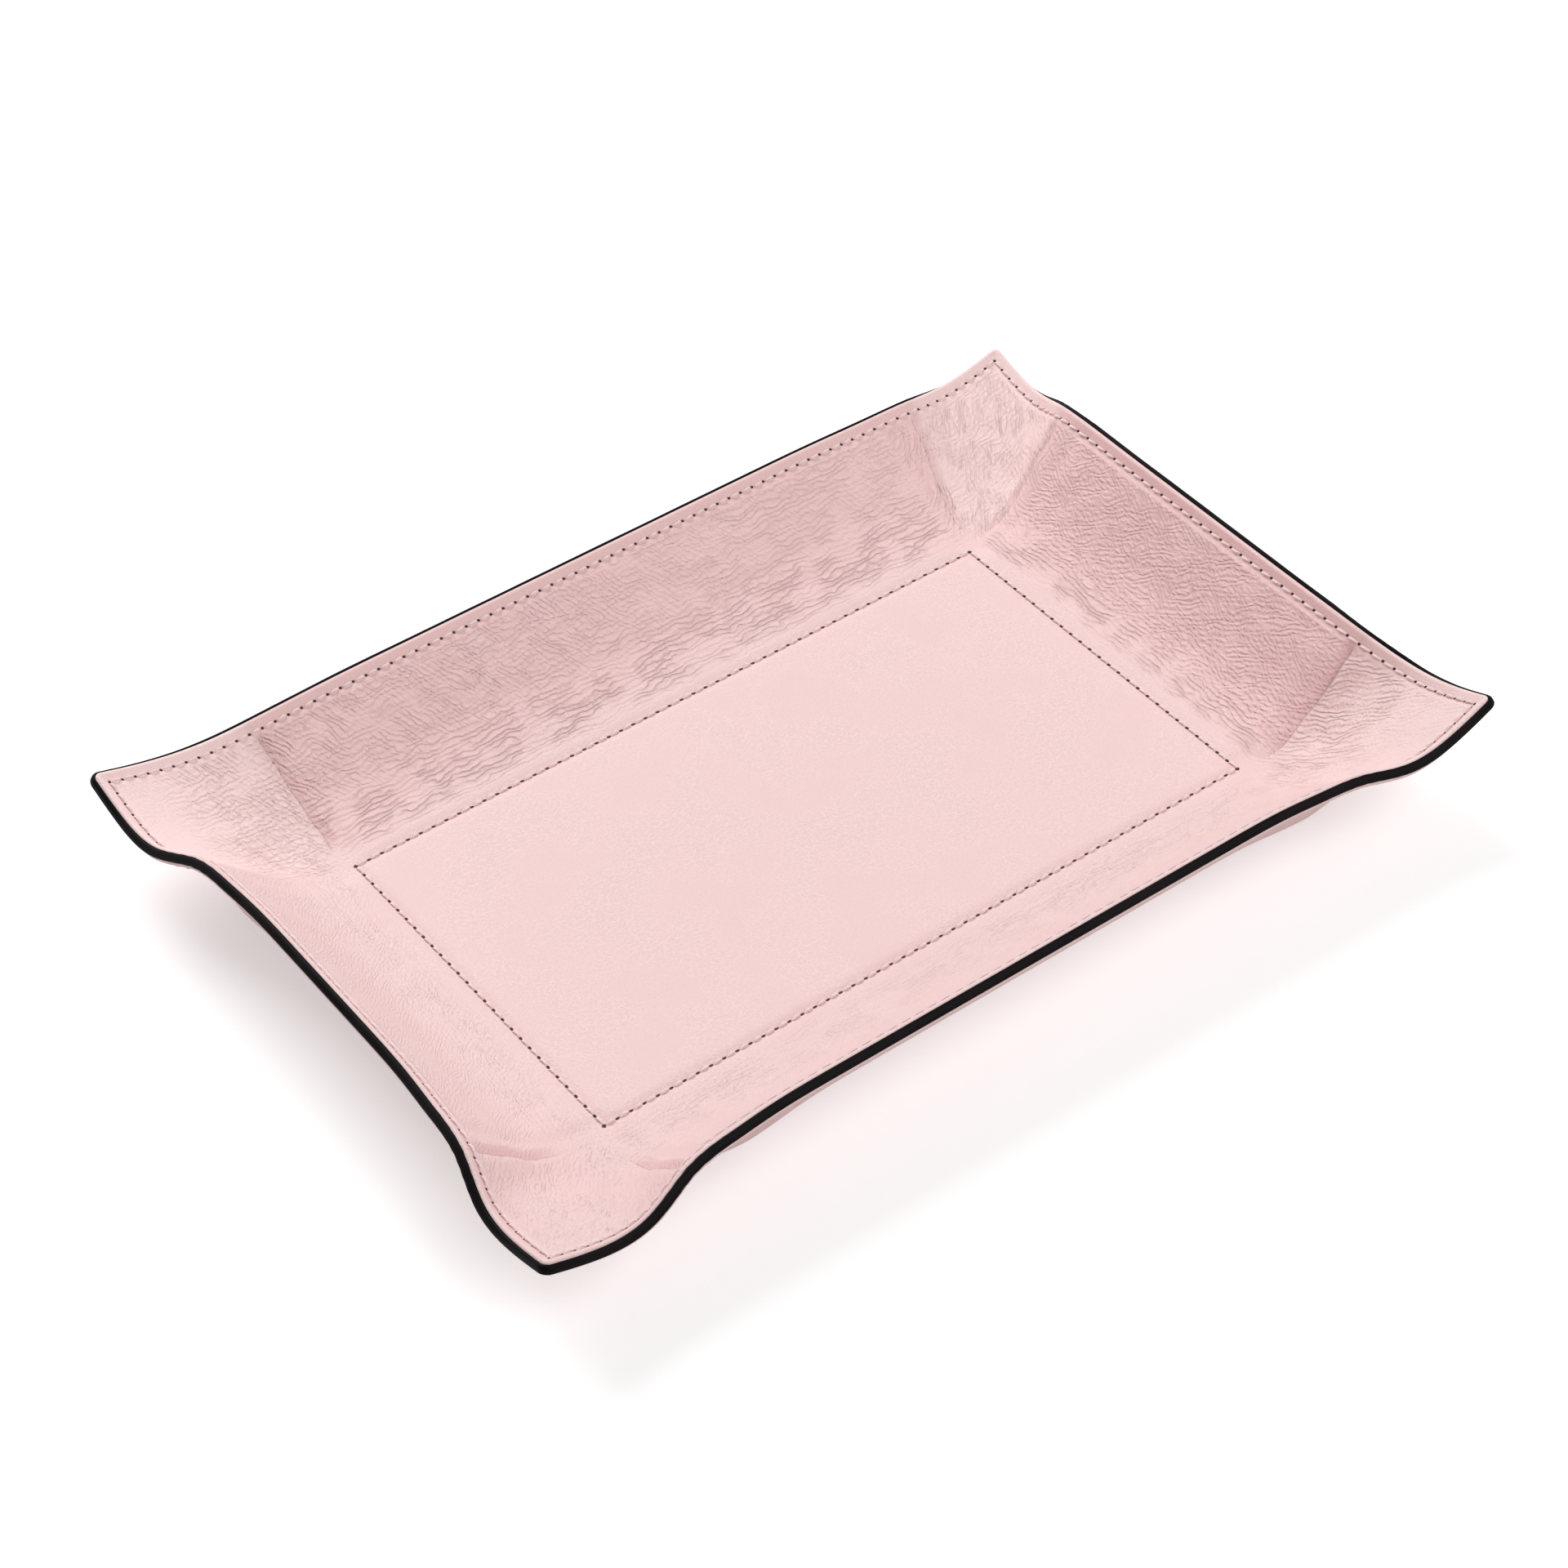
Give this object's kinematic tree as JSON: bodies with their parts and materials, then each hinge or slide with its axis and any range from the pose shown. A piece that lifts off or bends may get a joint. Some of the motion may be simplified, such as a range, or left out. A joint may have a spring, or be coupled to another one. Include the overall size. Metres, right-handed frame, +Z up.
{
  "type": "rectangular tray",
  "caption": "Shallow rectangular leather tray with four leaning walls, flared corners, stitched base and rim seams and a painted edge.",
  "frame": {"origin": "centre of the flat face under the base, on the surface that the tray stands on", "axes": "+Z up out of the open side; +X along the long sides to the right; +Y towards the back wall"},
  "size_m": [0.2671, 0.1868, 0.0313],
  "materials": {
    "lining_leather": "pebbled grain, satin",
    "outer_leather": "pebbled grain, satin",
    "board": "pressed fibre board, matte",
    "thread": "matte",
    "edge_paint": "soft gloss"
  },
  "bodies": {
    "root": {"lining": "lining_leather", "outer": "outer_leather", "base_board": "board", "front_board": "board", "back_board": "board", "right_board": "board", "left_board": "board", "rim_needle_thread": "thread", "rim_bobbin_thread": "thread", "base_needle_thread": "thread", "base_bobbin_thread": "thread", "edge_paint": "edge_paint"}
  },
  "joints": []
}
